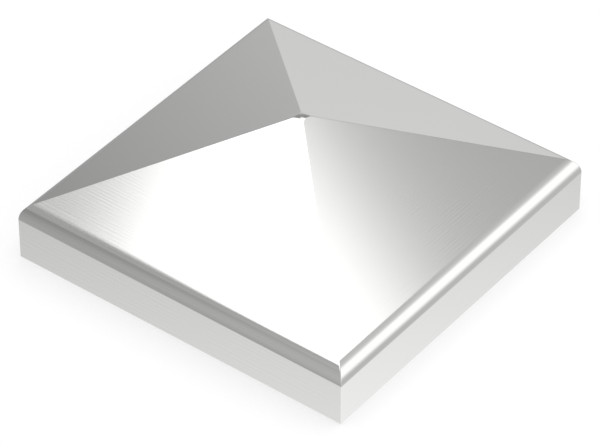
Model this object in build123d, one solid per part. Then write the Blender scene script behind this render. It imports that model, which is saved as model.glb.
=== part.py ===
from build123d import *
import os
from math import atan, cos, radians, sin, sqrt, tan

# A square post cap: one folded and welded stainless sheet with a short vertical skirt,
# a rounded eave bend along each side, four flat roof faces and a softly rounded top.
# The origin is the centre of the rim, with +Z up towards the top of the roof.

# The post, and how the cap sits over it
post_side = 100.0            # square newel post that the cap slides over
post_clearance = 0.5         # gap between the post and the skirt on each side

# The sheet and its folds
sheet = 1.5                  # wall thickness, the same all over
skirt_straight = 12.5        # flat of the skirt, from the rim up to where the eave bend starts
inner_bend_radius = 4.0      # inside radius of the eave bend
roof_slope = 24.35           # each roof face above the horizontal, in degrees

# How the welded seams and the cut edge were dressed
apex_radius = 10.0           # ball that the top was ground to
seam_radius = 0.3            # softness of the hips, the mitres and the upright corners
rim_radius = 0.2             # broken edges of the rim, inside and outside

# Worked out from the sizes above
outer_half = post_side / 2 + post_clearance + sheet
outer_bend_radius = inner_bend_radius + sheet
bend_centre_x = outer_half - outer_bend_radius
bend_turn = 90 - roof_slope
slope = radians(roof_slope)
hip_slope = atan(tan(slope) / sqrt(2))


def sharp_apex_height(inset):
    """Height where the four roof planes meet, at this depth below the outer surface."""
    bend = outer_bend_radius - inset
    tangent_x = bend_centre_x + bend * sin(slope)
    tangent_z = skirt_straight + bend * cos(slope)
    return tangent_z + tangent_x * tan(slope)


# The ball of the top is centred on the axis and just touches the four outer hips.
ball_centre_z = sharp_apex_height(0) - apex_radius / cos(hip_slope)


def gable(inset, bottom):
    """The cap's cross-section, run along Y past both ends of the cap."""
    half = outer_half - inset
    bend = outer_bend_radius - inset
    apex = (0, sharp_apex_height(inset))
    right_bend = CenterArc((bend_centre_x, skirt_straight), bend, 0, bend_turn)
    left_bend = CenterArc((-bend_centre_x, skirt_straight), bend, 180 - bend_turn, bend_turn)
    outline = [
        Line((-half, bottom), (half, bottom)),
        Line((half, bottom), right_bend @ 0),
        right_bend,
        Line(right_bend @ 1, apex),
        Line(apex, left_bend @ 0),
        left_bend,
        Line(left_bend @ 1, (-half, bottom)),
    ]
    section = Plane.XZ * make_face(Curve() + outline)
    return extrude(section, amount=outer_half + sheet, both=True)


def hipped_block(inset, bottom):
    """Two gables crossed at right angles, which mitres the bends and makes the hips."""
    along_y = gable(inset, bottom)
    along_x = Rot(0, 0, 90) * along_y
    return along_y & along_x


def round_top(block, inset):
    """Grinds the top of the block to the ball, down to the four points where it meets the hips."""
    hip_distance = (sharp_apex_height(inset) - ball_centre_z) * cos(hip_slope)
    meeting_height = ball_centre_z + hip_distance * cos(hip_slope)
    above_meeting = Pos(0, 0, meeting_height) * Cylinder(
        apex_radius, apex_radius, align=(Align.CENTER, Align.CENTER, Align.MIN)
    )
    ball = Pos(0, 0, ball_centre_z) * Sphere(apex_radius - inset)
    return block - (above_meeting - ball)


def seam_edges(block):
    """The four upright corners, the mitres across the bends and the hips."""
    on_diagonal = []
    for edge in block.edges():
        middle = edge @ 0.5
        if abs(abs(middle.X) - abs(middle.Y)) < seam_radius and middle.Z > 0:
            on_diagonal.append(edge)
    return on_diagonal


def rim_edges(shell):
    """The outer and the inner edge of the cut rim."""
    return [edge for edge in shell.edges() if abs((edge @ 0).Z) + abs((edge @ 0.5).Z) < rim_radius]


outer = hipped_block(0, 0)
outer = fillet(seam_edges(outer), seam_radius)
outer = round_top(outer, 0)
inner = round_top(hipped_block(sheet, -sheet), sheet)

cap = fillet(rim_edges(outer - inner), rim_radius)

os.makedirs("parts", exist_ok=True)
export_step(cap, "parts/pyramid_cap.step")
print("outside side", 2 * outer_half, "overall height", cap.bounding_box().max.Z)
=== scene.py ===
"""Looks of the brushed stainless post cap: its sheet, its grain and the studio round it."""

import bpy
import numpy as np
from mathutils import Matrix, Vector


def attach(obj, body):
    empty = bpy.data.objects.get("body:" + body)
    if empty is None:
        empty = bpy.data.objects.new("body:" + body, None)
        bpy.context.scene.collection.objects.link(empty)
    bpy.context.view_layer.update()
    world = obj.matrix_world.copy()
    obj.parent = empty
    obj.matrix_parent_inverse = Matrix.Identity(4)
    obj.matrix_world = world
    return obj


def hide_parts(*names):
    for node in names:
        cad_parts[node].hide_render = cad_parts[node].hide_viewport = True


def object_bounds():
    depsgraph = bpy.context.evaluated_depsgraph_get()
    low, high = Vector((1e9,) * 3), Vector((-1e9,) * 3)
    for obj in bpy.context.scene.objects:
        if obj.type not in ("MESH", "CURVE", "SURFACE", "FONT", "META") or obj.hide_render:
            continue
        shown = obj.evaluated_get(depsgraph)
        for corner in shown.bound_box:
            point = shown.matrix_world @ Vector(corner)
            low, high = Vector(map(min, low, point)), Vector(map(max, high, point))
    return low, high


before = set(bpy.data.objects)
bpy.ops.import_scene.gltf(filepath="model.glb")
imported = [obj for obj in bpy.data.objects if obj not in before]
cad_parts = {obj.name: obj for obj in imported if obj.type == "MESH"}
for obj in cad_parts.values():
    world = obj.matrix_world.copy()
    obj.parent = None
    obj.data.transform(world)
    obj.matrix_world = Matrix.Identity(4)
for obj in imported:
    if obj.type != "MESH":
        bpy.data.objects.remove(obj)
CAD_LOW, CAD_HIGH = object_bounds()

# Millimetres to metres
MM = 0.001

# Sizes of the cap. Its half-width comes from the frame.
OUTER_HALF = CAD_HIGH.x
SHEET = 1.5 * MM
SKIRT_STRAIGHT = 12.5 * MM
OUTER_BEND = 5.5 * MM
ROOF_SLOPE = np.radians(24.35)
APEX_RADIUS = 10.0 * MM
HIP_RADIUS = 0.3 * MM
CORNER_RADIUS = 0.15 * MM
INNER_CORNER = 0.02 * MM
RIM_RADIUS = 0.2 * MM

# The inner skin's part of the grain map starts here, clear of the outer skin's
INNER_GRAIN_START = 0.2

# Steps of the surface up the skirt, bend, roof, top flats and ball, outside and inside
OUTER_ROWS = (8, 49, 44, 8, 16)
INNER_ROWS = (6, 25, 20, 4, 8)

# Brushed grain: nearly even lines along each eave that fade in and out. The streaks lean the sheet
# along the grain and the scratches lean it across, by these greatest slopes.
STREAK_SPACING = 0.85 * MM
STREAK_LEAN = 0.0009
SCRATCH_SPACING = 1.35 * MM
SCRATCH_LEAN = 0.0034
# How far along the grain a line keeps its place and its strength, and how far its phase drifts
LINE_RUN = 60 * MM
LINE_FADE = 9 * MM
LINE_DRIFT = 2.5
# What is left of a line where it fades most, and the part of the noise that fades it
FADE_LEAST = 0.1
FADE_NOISE = (0.38, 0.62)
# The wave texture repeats after this much of its vector
WAVE_STEP = np.pi / 10

# Colour of the steel and roughness of its outside, at the streaks' lowest and highest value
DARK_STEEL = (0.712, 0.712, 0.702, 1)
LIGHT_STEEL = (0.728, 0.728, 0.718, 1)
OUTSIDE_ROUGHNESS = (0.12, 0.14)
INSIDE_ROUGHNESS = 0.42

BEND_TURN = np.pi / 2 - ROOF_SLOPE
BEND_CENTRE = OUTER_HALF - OUTER_BEND
HIP_SLOPE = np.arctan(np.tan(ROOF_SLOPE) / np.sqrt(2))


# Shape of the sheet

def sharp_apex_height(bend):
    """Height where the roof planes meet: the end of the bend plus its half-width times the slope."""
    end_x = BEND_CENTRE + bend * np.sin(ROOF_SLOPE)
    end_z = SKIRT_STRAIGHT + bend * np.cos(ROOF_SLOPE)
    return end_z + end_x * np.tan(ROOF_SLOPE)


BALL_CENTRE = sharp_apex_height(OUTER_BEND) - APEX_RADIUS / np.cos(HIP_SLOPE)


def meeting_half_width(bend):
    """Half-width of the roof at the height where the ball of the top is nearest to the hips.

    The foot of the square line from the ball's centre to a hip lies the cosine of the hip's slope
    times the centre's depth along that line, and the same cosine again gives its height.
    """
    depth = sharp_apex_height(bend) - BALL_CENTRE
    return depth * np.sin(HIP_SLOPE) ** 2 / np.tan(ROOF_SLOPE)


def section(bend, steps_skirt, steps_bend, steps_roof):
    """Half of the cross-section from the rim up to the ground top, as half-widths, heights and turns.

    The skirt is a straight line up to the bend. The bend is a circular arc through BEND_TURN, whose
    point at angle a lies at the bend's centre plus the radius times (cos a, sin a). The roof is a
    straight line whose height grows by tan(ROOF_SLOPE) times the half-width that it loses. A row
    lies close beside each end of a flat, so that the flats stay flat in the shading.
    """
    beside = 0.12 * MM
    level = np.linspace(RIM_RADIUS + beside, SKIRT_STRAIGHT - beside, steps_skirt - 1)
    skirt = np.concatenate([[RIM_RADIUS], level])
    angle = np.linspace(0, BEND_TURN, steps_bend)
    roof_start = BEND_CENTRE + bend * np.cos(BEND_TURN)
    roof = np.linspace(roof_start - beside, meeting_half_width(bend), steps_roof)
    half = np.concatenate([
        np.full(steps_skirt, BEND_CENTRE + bend),
        BEND_CENTRE + bend * np.cos(angle),
        roof,
    ])
    height = np.concatenate([
        skirt,
        SKIRT_STRAIGHT + bend * np.sin(angle),
        sharp_apex_height(bend) - roof * np.tan(ROOF_SLOPE),
    ])
    turn = np.concatenate([np.zeros(steps_skirt), angle, np.full(steps_roof, BEND_TURN)])
    return half, height, turn


def corner_softness(turn):
    """Radius of the seam in plan, from the bend angle of the row.

    The seam's own radius grows evenly with the turn, from the upright corner's to the hip's. The two
    sheets' normals at a mitre are at an angle whose cosine is sin squared of the bend angle. A
    fillet reaches its radius times the tangent of half that angle from the seam, and the seam's own
    lean across the bend stretches this by the root of one plus sin squared.
    """
    seam = CORNER_RADIUS + (HIP_RADIUS - CORNER_RADIUS) * turn / BEND_TURN
    lean = np.sin(turn) ** 2
    return seam * np.tan(np.arccos(lean) / 2) * np.sqrt(1 + lean)


def side_path(flat_steps, corner_steps):
    """One side of a square with round corners: the share along its flat and the corner's angle.

    The share runs from -1 to 1 as the sine of an even parameter, so that columns crowd beside the
    seams. Half of each corner arc, 45 degrees, belongs to the side.
    """
    spread = np.sin(np.linspace(-np.pi / 2, np.pi / 2, flat_steps))
    arc = np.linspace(0, np.pi / 4, corner_steps + 1)[1:]
    share = np.concatenate([np.full(corner_steps, -1.0), spread, np.full(corner_steps, 1.0)])
    turn = np.concatenate([-arc[::-1], np.zeros(flat_steps), arc])
    return share, turn


SIDE_SHARE, SIDE_TURN = side_path(flat_steps=56, corner_steps=3)


def carry_round(half, height, soft):
    """Carries a section along one side, the one that faces -Y, as rows by columns by xyz.

    Row by row, the flat of the side runs between plus and minus (half-width less corner radius), and
    the corner arc adds the radius times (sin, 1 - cos) of its angle.
    """
    flat = (half - soft)[:, None]
    x = flat * SIDE_SHARE + soft[:, None] * np.sin(SIDE_TURN)
    y = -half[:, None] + soft[:, None] * (1 - np.cos(SIDE_TURN))
    z = np.broadcast_to(height[:, None], x.shape)
    return np.stack([x, y, z], axis=-1)


def ground_top(foot, bend, ball_radius, steps_flat, steps_ball):
    """Rows from the roof's last row in to the axis: what is left of the flats, then the ball.

    Every column shrinks towards the axis by a share k of its foot. The flat's height is the sharp
    apex less k times its drop at the foot. The ball's is its centre plus the root of its radius
    squared less (k times the foot's distance) squared. They are equal at the smaller root of a
    quadratic in k, which gives the crease: the four-pointed star with its points on the hips.
    """
    apex = sharp_apex_height(bend)
    depth = apex - BALL_CENTRE
    drop = apex - foot[:, 2]
    reach = np.hypot(foot[:, 0], foot[:, 1])
    size = drop ** 2 + reach ** 2
    root = (depth * drop) ** 2 - size * (depth ** 2 - ball_radius ** 2)
    crease = (depth * drop - np.sqrt(np.maximum(root, 0))) / size

    beside = 0.03
    on_flat = np.append(np.linspace(0, 1, steps_flat + 1)[1:-1], 1 - beside)
    flat_share = 1 + (crease - 1) * on_flat[:, None]
    on_ball = np.append([1, 1 - beside], np.linspace(1, 0, steps_ball + 1)[1:-1])
    ball_share = crease * on_ball[:, None]
    share = np.concatenate([flat_share, ball_share])
    flat_height = apex - flat_share * drop
    ball_height = BALL_CENTRE + np.sqrt(ball_radius ** 2 - (ball_share * reach) ** 2)
    z = np.concatenate([flat_height, ball_height])
    return np.stack([share * foot[:, 0], share * foot[:, 1], z], axis=-1)


def quarter_turns(points, times):
    """Points turned about Z by a number of quarter turns."""
    x, y = points[..., 0], points[..., 1]
    for _ in range(times):
        x, y = -y, x
    return np.stack([x, y, points[..., 2]], axis=-1)


def rim_section():
    """The cut edge from inside to outside, as half-widths and heights: a quarter round, a flat and
    a quarter round, each round's point at the rim radius times (1 - cos, 1 - sin) of its angle."""
    angle = np.linspace(0, np.pi / 2, 6)
    inside = OUTER_HALF - SHEET + RIM_RADIUS * (1 - np.cos(angle))
    outside = OUTER_HALF - RIM_RADIUS * (1 - np.sin(angle))
    half = np.concatenate([inside, outside])
    height = np.concatenate([RIM_RADIUS * (1 - np.sin(angle)), RIM_RADIUS * (1 - np.cos(angle))])
    return half[1:-1], height[1:-1]


def skin(bend, ball_radius, soft_of, steps):
    """One skin of the sheet, outer or inner, from the rim to beside the axis, with its grain heights.

    The grain height of a point is the length of the section up to its row. On the ground top, where
    rows aren't level, it goes on by the distance towards the axis over the cosine of the slope.
    """
    steps_skirt, steps_bend, steps_roof, steps_flat, steps_ball = steps
    half, height, turn = section(bend, steps_skirt, steps_bend, steps_roof)
    body = carry_round(half, height, soft_of(turn))
    top = ground_top(body[-1], bend, ball_radius, steps_flat, steps_ball)
    climbed = np.concatenate([[0], np.cumsum(np.hypot(np.diff(half), np.diff(height)))])
    body_grain = np.broadcast_to(climbed[:, None], body.shape[:2])
    top_grain = climbed[-1] + (top[..., 1] - body[-1, :, 1]) / np.cos(ROOF_SLOPE)
    return np.concatenate([body, top]), np.concatenate([body_grain, top_grain])


def inner_softness(turn):
    """The folded inside corners are nearly sharp."""
    return np.full(len(turn), INNER_CORNER)


def build_sheet():
    """One side of the whole sheet: inner rows from the top down, the rim, outer rows up.

    It returns the points, their grain coordinates in metres and the first row of the outside.
    """
    outer, outer_grain = skin(OUTER_BEND, APEX_RADIUS, corner_softness, OUTER_ROWS)
    inner, inner_grain = skin(OUTER_BEND - SHEET, APEX_RADIUS - SHEET, inner_softness, INNER_ROWS)
    rim_half, rim_height = rim_section()
    rim_soft = np.where(rim_half > OUTER_HALF - SHEET / 2, CORNER_RADIUS, INNER_CORNER)
    rim = carry_round(rim_half, rim_height, rim_soft)
    rim_grain = np.broadcast_to((rim_half - OUTER_HALF)[:, None], rim.shape[:2])
    rows = np.concatenate([inner[::-1], rim, outer])
    up = np.concatenate([inner_grain[::-1] + INNER_GRAIN_START, rim_grain, outer_grain])
    grain = np.stack([rows[..., 0], up], axis=-1)
    return rows, grain, len(inner) + len(rim) // 2


def closed_mesh(name, rows, grain, outside_from):
    """Joins four turned copies of one side into one mesh that is closed at both poles.

    Its UV map "grain" is in metres: the first coordinate runs along the eave and the second up the
    section, so that a pattern stretched along the first follows each eave. Every side has its own
    part of the map. The attribute "outside" is 1 on the outer skin and 0 on the inner one.
    """
    n_rows, n_cols = rows.shape[:2]
    per_side = n_cols - 1
    ring = per_side * 4
    points = np.concatenate([quarter_turns(rows[:, :-1], k) for k in range(4)], axis=1)
    poles = [[0, 0, BALL_CENTRE + APEX_RADIUS - SHEET], [0, 0, BALL_CENTRE + APEX_RADIUS]]
    co = np.concatenate([points.reshape(-1, 3), poles])
    inner_pole = len(co) - 2
    outer_pole = len(co) - 1

    row, col = np.meshgrid(np.arange(n_rows - 1), np.arange(ring), indexing="ij")
    row, col = row.ravel(), col.ravel()
    after = (col + 1) % ring
    quads = np.stack([
        row * ring + col, row * ring + after, (row + 1) * ring + after, (row + 1) * ring + col,
    ], axis=-1)
    around = np.arange(ring)
    next_round = (around + 1) % ring
    last = (n_rows - 1) * ring
    inner_fan = np.stack([next_round, around, np.full(ring, inner_pole)], axis=-1)
    outer_fan = np.stack([last + around, last + next_round, np.full(ring, outer_pole)], axis=-1)

    mesh = bpy.data.meshes.new(name)
    mesh.from_pydata(co.tolist(), [], quads.tolist() + inner_fan.tolist() + outer_fan.tolist())

    side_step = np.array([3 * OUTER_HALF, 0])
    side = col // per_side
    place = col % per_side
    quad_uv = np.stack([
        grain[row, place], grain[row, place + 1], grain[row + 1, place + 1], grain[row + 1, place],
    ], axis=1) + (side[:, None] * side_step)[:, None]
    place = around % per_side
    shift = (around // per_side)[:, None] * side_step
    inner_uv = np.stack([grain[0, place + 1], grain[0, place], grain[0, place]], axis=1) + shift[:, None]
    outer_uv = np.stack([grain[-1, place], grain[-1, place + 1], grain[-1, place]], axis=1) + shift[:, None]
    all_uv = np.concatenate([quad_uv.reshape(-1, 2), inner_uv.reshape(-1, 2), outer_uv.reshape(-1, 2)])
    mesh.uv_layers.new(name="grain").data.foreach_set("uv", all_uv.ravel())

    mask = np.zeros(len(co))
    mask[outside_from * ring:] = 1
    mask[inner_pole] = 0
    mesh.attributes.new("outside", "FLOAT", "POINT").data.foreach_set("value", mask)
    mesh.polygons.foreach_set("use_smooth", np.ones(len(mesh.polygons), bool))
    mesh.update()
    return mesh


sheet_mesh = closed_mesh("brushed_cap", *build_sheet())
cap = bpy.data.objects.new("brushed_cap", sheet_mesh)
bpy.context.scene.collection.objects.link(cap)
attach(cap, "root")
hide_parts("pyramid_cap")


# Finish of the sheet

def socket(group, name, kind, way):
    """One named input or output on a node group."""
    group.interface.new_socket(name=name, socket_type=kind, in_out=way)


def stretched(nodes, links, place, length, width):
    """The map drawn out along the grain: divided by (length, width)."""
    stretch = nodes.new("ShaderNodeVectorMath")
    stretch.operation = "MULTIPLY"
    stretch.inputs[1].default_value = (1 / length, 1 / width, 0)
    links.new(place, stretch.inputs[0])
    return stretch.outputs["Vector"]


def noise_along(nodes, links, place, length, width):
    """A plane noise drawn out along the grain."""
    noise = nodes.new("ShaderNodeTexNoise")
    noise.noise_dimensions = "2D"
    noise.inputs["Scale"].default_value = 1
    noise.inputs["Detail"].default_value = 0
    links.new(stretched(nodes, links, place, length, width), noise.inputs["Vector"])
    return noise.outputs["Fac"]


def mixed(nodes, links, factor, low, high, start=0.0, end=1.0):
    """Low and high, plain numbers, mixed by a changing factor between its start and its end."""
    mix = nodes.new("ShaderNodeMapRange")
    mix.inputs["From Min"].default_value = start
    mix.inputs["From Max"].default_value = end
    mix.inputs["To Min"].default_value = low
    mix.inputs["To Max"].default_value = high
    links.new(factor, mix.inputs["Value"])
    return mix.outputs["Result"]


def drawn_lines(nodes, links, place, spacing):
    """Straight lines along the grain, as a value round a half that fades to a half between them.

    The lines are a sine wave across the grain whose phase drifts, so that they lie about one spacing
    apart. A noise two spacings wide says how far each line shows.
    """
    line = nodes.new("ShaderNodeTexWave")
    line.bands_direction = "Y"
    line.inputs["Scale"].default_value = 1
    line.inputs["Distortion"].default_value = LINE_DRIFT
    line.inputs["Detail"].default_value = 0
    line.inputs["Detail Scale"].default_value = 1
    links.new(stretched(nodes, links, place, LINE_RUN, spacing / WAVE_STEP), line.inputs["Vector"])
    patches = noise_along(nodes, links, place, LINE_FADE, 2 * spacing)
    fade = mixed(nodes, links, patches, FADE_LEAST, 1, *FADE_NOISE)
    shown = nodes.new("ShaderNodeMix")
    links.new(fade, shown.inputs["Factor"])
    shown.inputs["A"].default_value = 0.5
    links.new(line.outputs["Fac"], shown.inputs["B"])
    return shown.outputs["Result"]


def grain_group():
    """Brushed grain along the map's first coordinate: drawn streaks and the scratches between them.

    The streaks lean the sheet's normal a very little along the grain, and the scratches lean it
    across. Each slope is the lines' value less a half, times twice its greatest slope. The group
    puts out that normal, and the streaks alone as a mask round a half.
    """
    group = bpy.data.node_groups.new("brushed_grain", "ShaderNodeTree")
    socket(group, "Map", "NodeSocketVector", "INPUT")
    socket(group, "Normal", "NodeSocketVector", "OUTPUT")
    socket(group, "Streak", "NodeSocketFloat", "OUTPUT")
    nodes, links = group.nodes, group.links
    inp = nodes.new("NodeGroupInput")
    out = nodes.new("NodeGroupOutput")
    streak = drawn_lines(nodes, links, inp.outputs["Map"], STREAK_SPACING)
    scratch = drawn_lines(nodes, links, inp.outputs["Map"], SCRATCH_SPACING)
    lean = nodes.new("ShaderNodeCombineXYZ")
    links.new(mixed(nodes, links, streak, 0.5 - STREAK_LEAN / 2, 0.5 + STREAK_LEAN / 2), lean.inputs["X"])
    links.new(mixed(nodes, links, scratch, 0.5 - SCRATCH_LEAN / 2, 0.5 + SCRATCH_LEAN / 2), lean.inputs["Y"])
    lean.inputs["Z"].default_value = 1
    normal = nodes.new("ShaderNodeNormalMap")
    normal.uv_map = "grain"
    links.new(lean.outputs["Vector"], normal.inputs["Color"])
    links.new(normal.outputs["Normal"], out.inputs["Normal"])
    links.new(streak, out.inputs["Streak"])
    return group


def brushed_steel(grain):
    """Brushed stainless: metal with fine grain along each eave, duller on the inside."""
    mat = bpy.data.materials.new("brushed_stainless")
    mat.use_nodes = True
    nodes, links = mat.node_tree.nodes, mat.node_tree.links
    bsdf = nodes["Principled BSDF"]
    bsdf.inputs["Metallic"].default_value = 1.0
    uv = nodes.new("ShaderNodeUVMap")
    uv.uv_map = "grain"
    g = nodes.new("ShaderNodeGroup")
    g.node_tree = grain
    links.new(uv.outputs["UV"], g.inputs["Map"])
    outside = nodes.new("ShaderNodeAttribute")
    outside.attribute_name = "outside"

    tone = nodes.new("ShaderNodeMix")
    tone.data_type = "RGBA"
    tone.inputs["A"].default_value = DARK_STEEL
    tone.inputs["B"].default_value = LIGHT_STEEL
    links.new(g.outputs["Streak"], tone.inputs["Factor"])
    links.new(tone.outputs["Result"], bsdf.inputs["Base Color"])

    polish = nodes.new("ShaderNodeMix")
    links.new(outside.outputs["Fac"], polish.inputs["Factor"])
    polish.inputs["A"].default_value = INSIDE_ROUGHNESS
    links.new(mixed(nodes, links, g.outputs["Streak"], *OUTSIDE_ROUGHNESS), polish.inputs["B"])
    links.new(polish.outputs["Result"], bsdf.inputs["Roughness"])

    links.new(g.outputs["Normal"], bsdf.inputs["Normal"])
    return mat


sheet_mesh.materials.append(brushed_steel(grain_group()))


# Camera

# The camera was fitted to the cap's edges in the photo. Its place is in hundredths of the cap's side.
UNIT = 2 * OUTER_HALF / 100
CAMERA_AZIMUTH = np.radians(37.534)
CAMERA_ELEVATION = np.radians(40.368)
CAMERA_LENS = 231.73
CAMERA_DISTANCE = 959.09 * UNIT
AIM_HEIGHT = 15 * UNIT
AIM_RIGHT = -0.50 * UNIT
AIM_DOWN = 8.62 * UNIT


def make_camera():
    """The photo's camera: aimed at a point beside the cap's middle, from its azimuth and height."""
    a, e = CAMERA_AZIMUTH, CAMERA_ELEVATION
    back = Vector((np.sin(a) * np.cos(e), -np.cos(a) * np.cos(e), np.sin(e)))
    right = Vector((np.cos(a), np.sin(a), 0))
    up = back.cross(right)
    data = bpy.data.cameras.new("camera")
    data.lens = CAMERA_LENS
    data.sensor_width = 36
    data.clip_start = 0.01
    data.clip_end = 20
    cam = bpy.data.objects.new("camera", data)
    turn = Matrix((right, up, back)).transposed().to_4x4()
    place = Vector((0, 0, AIM_HEIGHT)) + back * CAMERA_DISTANCE + right * AIM_RIGHT - up * AIM_DOWN
    cam.matrix_world = Matrix.Translation(place) @ turn
    bpy.context.scene.collection.objects.link(cam)
    bpy.context.scene.camera = cam


make_camera()


# Studio

def light_panel(name, centre, size, facing, radiance):
    """A soft rectangular lamp at a point, facing another, whose face is as bright as a white of
    that value: its watts are pi times its area times the radiance."""
    data = bpy.data.lights.new(name, "AREA")
    data.shape = "RECTANGLE"
    data.size, data.size_y = size
    data.energy = np.pi * size[0] * size[1] * radiance
    lamp = bpy.data.objects.new(name, data)
    lamp.location = centre
    lamp.rotation_euler = (Vector(facing) - Vector(centre)).to_track_quat("-Z", "Y").to_euler()
    lamp.visible_camera = False
    bpy.context.scene.collection.objects.link(lamp)


# The softbox and the walls were fitted to the brightness of the photo's faces and bends, then rounded.
SOFTBOX_PLACE = (-0.11, 0.07)
SOFTBOX_HEIGHT = 1.2
SOFTBOX_SIZE = (1.2, 1.7)
SOFTBOX_RADIANCE = 1.3
light_panel(
    "overhead_softbox", (*SOFTBOX_PLACE, SOFTBOX_HEIGHT), SOFTBOX_SIZE, (*SOFTBOX_PLACE, 0), SOFTBOX_RADIANCE)

# Brightness of the studio's walls by side, as pairs of place and value. Place 0 is the camera's left,
# 0.5 is straight ahead or straight behind and 1 is the camera's right.
LOWER_WALL = ((0.0, 0.5), (0.1, 0.35), (1.0, 0.65))
WINDOW_BAND = ((0.0, 0.15), (0.04, 0.42), (0.34, 0.35), (0.39, 0.65), (0.6, 0.9), (0.8, 0.5), (0.95, 1.4))
UPPER_WALL = ((0.0, 0.45), (0.08, 0.7), (0.25, 0.35), (0.8, 0.32), (0.9, 0.5), (1.0, 0.75))
# Heights of a direction's unit vector between which one part of the wall gives way to the next
BAND_BOTTOM = (-0.33, 0.06)
BAND_TOP = (0.38, 0.60)
# Below the first height the pale floor's glow is added to the wall, in full at the second
FLOOR_EDGE = (-0.60, -0.72)
FLOOR_GLOW = 0.71
# The wall towards the camera is brighter: the glow comes in between these cosines
NEAR_WALL = (0.32, 0.47)
NEAR_GLOW = 0.19

# The floor's half-width and colour
FLOOR_REACH = 3
FLOOR_COLOUR = 0.5
# How much brighter than its light the camera sees the floor, near the cap and far from it, and the
# distances from the cap's axis between which the one gives way to the other
FLOOR_LIFT = 0.54
FAR_LIFT = 0.10
LIFT_FADE = (0.14, 0.40)
# What the camera sees past the floor
BACKDROP = 0.55


def ramp(nodes, links, factor, stops):
    """A ramp of greys over a factor, from pairs of place and value."""
    made = nodes.new("ShaderNodeValToRGB")
    elements = made.color_ramp.elements
    while len(elements) < len(stops):
        elements.new(0.5)
    for element, (place, value) in zip(elements, stops):
        element.position = place
        element.color = (value, value, value, 1)
    links.new(factor, made.inputs["Fac"])
    return made.outputs["Color"]


def step_between(nodes, links, value, ends, high=1.0, smooth=True):
    """A step of a value between two ends, from 0 to high."""
    made = nodes.new("ShaderNodeMapRange")
    made.interpolation_type = "SMOOTHSTEP" if smooth else "LINEAR"
    made.inputs["From Min"].default_value = ends[0]
    made.inputs["From Max"].default_value = ends[1]
    made.inputs["To Max"].default_value = high
    links.new(value, made.inputs["Value"])
    return made.outputs["Result"]


def blended(nodes, links, factor, first, second, kind="MIX"):
    """Two colours blended by a factor, which may be a plain number."""
    made = nodes.new("ShaderNodeMix")
    made.data_type = "RGBA"
    made.blend_type = kind
    made.clamp_result = False
    if isinstance(factor, float):
        made.inputs["Factor"].default_value = factor
    else:
        links.new(factor, made.inputs["Factor"])
    for value, place in ((first, "A"), (second, "B")):
        if isinstance(value, tuple):
            made.inputs[place].default_value = value
        else:
            links.new(value, made.inputs[place])
    return made.outputs["Result"]


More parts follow.
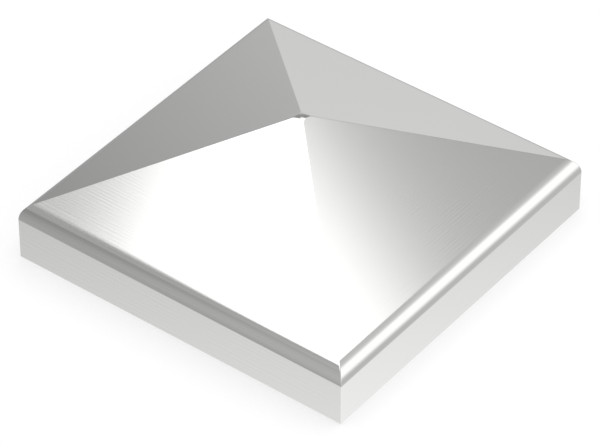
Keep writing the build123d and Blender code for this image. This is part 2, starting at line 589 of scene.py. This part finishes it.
def make_studio_world():
    """The room as the metal sees it: three grey bands of wall and a pale floor, by direction.

    The camera itself sees a plain grey backdrop past the floor.
    """
    world = bpy.data.worlds.new("studio")
    bpy.context.scene.world = world
    world.use_nodes = True
    nodes, links = world.node_tree.nodes, world.node_tree.links
    direction = nodes.new("ShaderNodeTexCoord").outputs["Generated"]
    split = nodes.new("ShaderNodeSeparateXYZ")
    links.new(direction, split.inputs["Vector"])
    height = split.outputs["Z"]

    level = nodes.new("ShaderNodeVectorMath")
    level.operation = "MULTIPLY"
    level.inputs[1].default_value = (1, 1, 0)
    links.new(direction, level.inputs[0])
    unit = nodes.new("ShaderNodeVectorMath")
    unit.operation = "NORMALIZE"
    links.new(level.outputs["Vector"], unit.inputs[0])

    def share_towards(x, y):
        """Cosine of the plan angle between the direction and a level vector."""
        dot = nodes.new("ShaderNodeVectorMath")
        dot.operation = "DOT_PRODUCT"
        dot.inputs[1].default_value = (x, y, 0)
        links.new(unit.outputs["Vector"], dot.inputs[0])
        return dot.outputs["Value"]

    a = CAMERA_AZIMUTH
    rightward = share_towards(np.cos(a), np.sin(a))
    nearward = share_towards(np.sin(a), -np.cos(a))
    place = step_between(nodes, links, rightward, (-1, 1), smooth=False)
    lower = ramp(nodes, links, place, LOWER_WALL)
    band = ramp(nodes, links, place, WINDOW_BAND)
    upper = ramp(nodes, links, place, UPPER_WALL)
    wall = blended(nodes, links, step_between(nodes, links, height, BAND_BOTTOM), lower, band)
    wall = blended(nodes, links, step_between(nodes, links, height, BAND_TOP), wall, upper)
    floor_share = step_between(nodes, links, height, FLOOR_EDGE, FLOOR_GLOW, smooth=False)
    wall = blended(nodes, links, 1.0, wall, floor_share, kind="ADD")
    near_share = step_between(nodes, links, nearward, NEAR_WALL, NEAR_GLOW)
    wall = blended(nodes, links, 1.0, wall, near_share, kind="ADD")

    ray = nodes.new("ShaderNodeLightPath")
    seen = blended(nodes, links, ray.outputs["Is Camera Ray"], wall, (BACKDROP, BACKDROP, BACKDROP, 1))
    links.new(seen, nodes["Background"].inputs["Color"])


make_studio_world()


def make_floor():
    """A plain pale floor. The camera sees it brighter than it is lit, so that it is white round the
    cap and its shadow is faint. Further off it falls to a pale grey, which shows the cap's outline
    from low down. The metal sees the studio's pale floor instead."""
    mesh = bpy.data.meshes.new("floor")
    reach = FLOOR_REACH
    corners = [(-reach, -reach, 0), (reach, -reach, 0), (reach, reach, 0), (-reach, reach, 0)]
    mesh.from_pydata(corners, [], [(0, 1, 2, 3)])
    floor = bpy.data.objects.new("floor", mesh)
    bpy.context.scene.collection.objects.link(floor)
    floor.visible_glossy = False
    mat = bpy.data.materials.new("pale_floor")
    mat.use_nodes = True
    nodes, links = mat.node_tree.nodes, mat.node_tree.links
    bsdf = nodes["Principled BSDF"]
    bsdf.inputs["Base Color"].default_value = (FLOOR_COLOUR, FLOOR_COLOUR, FLOOR_COLOUR, 1)
    bsdf.inputs["Roughness"].default_value = 1.0
    bsdf.inputs["Specular IOR Level"].default_value = 0.0
    bsdf.inputs["Emission Color"].default_value = (1, 1, 1, 1)
    away = nodes.new("ShaderNodeVectorMath")
    away.operation = "LENGTH"
    links.new(nodes.new("ShaderNodeTexCoord").outputs["Object"], away.inputs[0])
    ray = nodes.new("ShaderNodeLightPath")
    lift = nodes.new("ShaderNodeMath")
    lift.operation = "MULTIPLY"
    links.new(mixed(nodes, links, away.outputs["Value"], FLOOR_LIFT, FAR_LIFT, *LIFT_FADE), lift.inputs[1])
    links.new(ray.outputs["Is Camera Ray"], lift.inputs[0])
    links.new(lift.outputs["Value"], bsdf.inputs["Emission Strength"])
    mesh.materials.append(mat)
    return floor


make_floor()

bpy.context.scene.view_settings.view_transform = "Standard"
